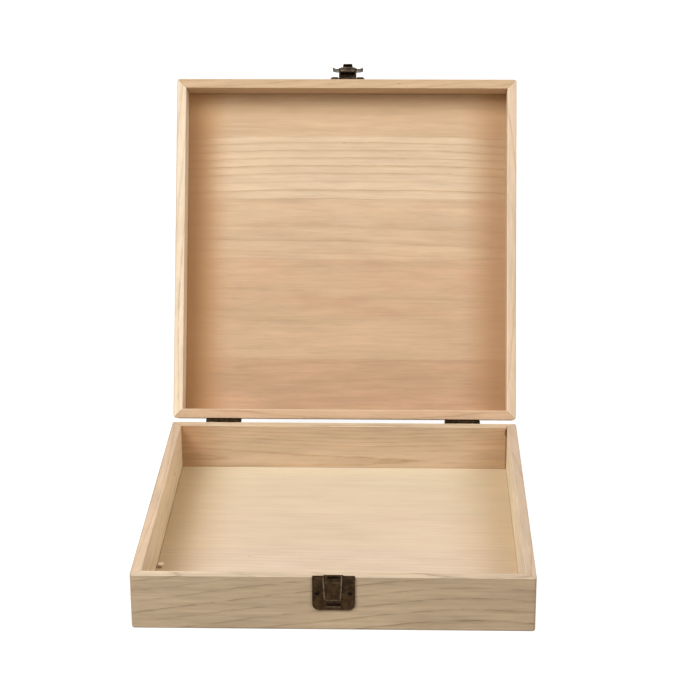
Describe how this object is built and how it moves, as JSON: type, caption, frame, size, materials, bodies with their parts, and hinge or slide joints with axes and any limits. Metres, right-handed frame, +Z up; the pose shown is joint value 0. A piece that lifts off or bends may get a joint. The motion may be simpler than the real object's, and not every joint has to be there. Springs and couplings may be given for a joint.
{
  "type": "jewelry box",
  "caption": "Shallow square wooden box with a hinged lid that stands open, butt hinges at the back and a hasp clasp at the front.",
  "frame": {"origin": "middle of the base's underside", "axes": "+Z up from the surface the box stands on, -Y towards the clasp side of the base, +X to the right seen from the front"},
  "size_m": [0.25, 0.3787, 0.2772],
  "materials": {
    "board_wood": "bare sanded softwood boards",
    "panel_wood": "bare sanded panel of edge-glued strips",
    "bronze_sheet": "antique bronze plating, lighter on worn edges",
    "bronze_nails": "antique bronze plating on round heads",
    "bronze_pins": "antique bronze plating"
  },
  "bodies": {
    "base": {"base_back": "board_wood", "base_floor": "panel_wood", "base_front": "board_wood", "base_left": "board_wood", "base_right": "board_wood", "catch_nails": "bronze_nails", "catch_plate": "bronze_sheet", "hinge_left_base_leaf": "bronze_sheet", "hinge_left_base_nails": "bronze_nails", "hinge_left_pin": "bronze_pins", "hinge_right_base_leaf": "bronze_sheet", "hinge_right_base_nails": "bronze_nails", "hinge_right_pin": "bronze_pins"},
    "lid": {"clasp_nails": "bronze_nails", "clasp_pin": "bronze_pins", "clasp_plate": "bronze_sheet", "hinge_left_lid_leaf": "bronze_sheet", "hinge_left_lid_nails": "bronze_nails", "hinge_right_lid_leaf": "bronze_sheet", "hinge_right_lid_nails": "bronze_nails", "lid_back": "board_wood", "lid_front": "board_wood", "lid_left": "board_wood", "lid_right": "board_wood", "lid_top": "panel_wood"},
    "lever": {"clasp_lever": "bronze_sheet"}
  },
  "joints": [
    {"name": "lid_hinge", "type": "hinge", "parent": "base", "child": "lid", "pos_m": [-0.001, 0.127, 0.03665], "axis": [1, 0, 0], "range_deg": [0, 113.2]},
    {"name": "clasp_hinge", "type": "hinge", "parent": "lid", "child": "lever", "pos_m": [0.0006, 0.23358, 0.27276], "axis": [1, 0, 0], "range_deg": [0, 180]}
  ]
}
